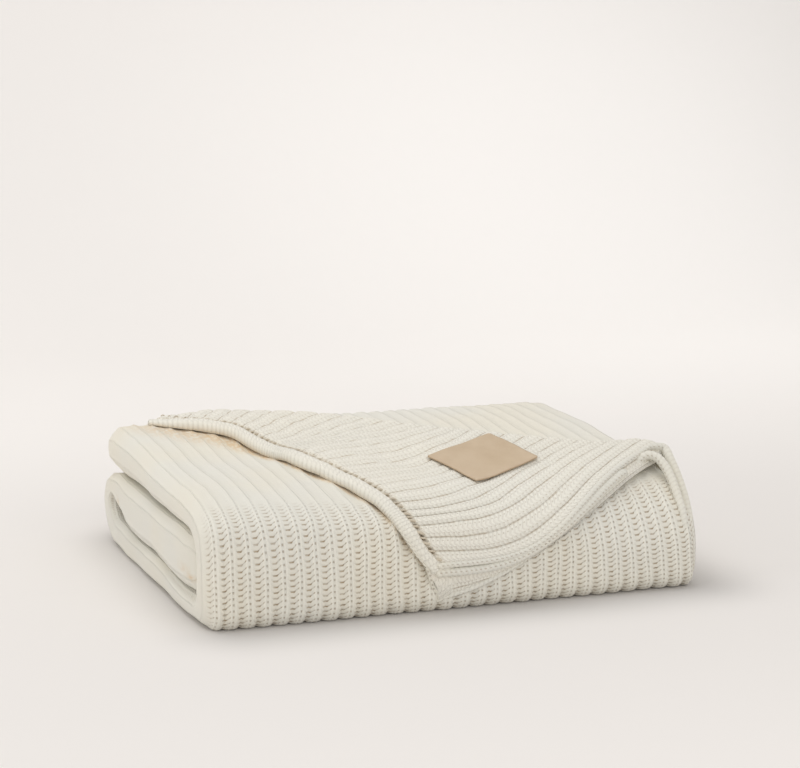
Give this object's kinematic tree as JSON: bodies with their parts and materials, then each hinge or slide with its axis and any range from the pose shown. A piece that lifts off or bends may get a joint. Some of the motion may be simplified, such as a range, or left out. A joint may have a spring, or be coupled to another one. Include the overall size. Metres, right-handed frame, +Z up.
{
  "type": "knit throw blanket",
  "caption": "Folded heavy rib-knit throw blanket, its top corner turned over, with a leather patch.",
  "frame": {"origin": "middle of the footprint on the surface the folded throw rests on", "axes": "+X along the front edge towards the apex of the turned-over corner, +Y from the front to the back, +Z up"},
  "size_m": [0.4416, 0.385, 0.1253],
  "materials": {
    "knit": "matte heavy rib knit",
    "leather": "satin vegetable-tanned"
  },
  "bodies": {
    "root": {"throw": "knit", "patch": "leather"}
  },
  "joints": []
}
